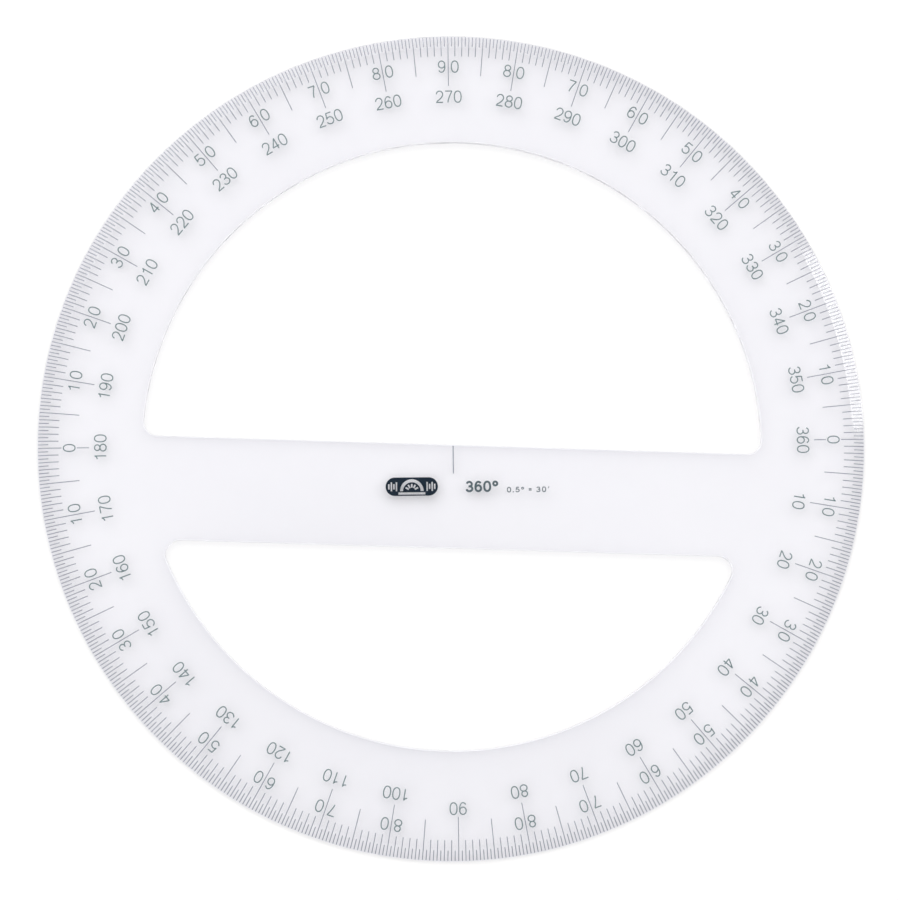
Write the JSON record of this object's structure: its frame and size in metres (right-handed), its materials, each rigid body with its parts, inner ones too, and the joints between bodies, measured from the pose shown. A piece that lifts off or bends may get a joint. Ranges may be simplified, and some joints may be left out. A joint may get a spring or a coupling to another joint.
{
  "type": "full-circle protractor",
  "caption": "Clear full-circle drafting protractor with a bevelled rim, a crossbar between two D-shaped windows, and printed degree scales.",
  "frame": {"origin": "centre of the printed scale, on the flat underside", "axes": "+Z out of the printed face, +X to the 0 and 360 graduation, +Y to the 270 graduation; the crossbar runs along X just below the centre"},
  "size_m": [0.2032, 0.2032, 0.0021],
  "materials": {
    "clear_plastic": "clear moulded plastic, polished faces",
    "black_ink": "screen-printed black ink, satin",
    "navy_ink": "screen-printed dark navy ink, satin"
  },
  "bodies": {
    "root": {"clear_plate": "clear_plastic", "half_degree_marks": "black_ink", "one_degree_marks": "black_ink", "five_degree_marks": "black_ink", "ten_degree_marks": "black_ink", "quadrant_numerals": "black_ink", "full_circle_numerals": "black_ink", "centre_mark": "black_ink", "imprint_range": "navy_ink", "imprint_division": "navy_ink", "imprint_emblem": "navy_ink"}
  },
  "joints": []
}
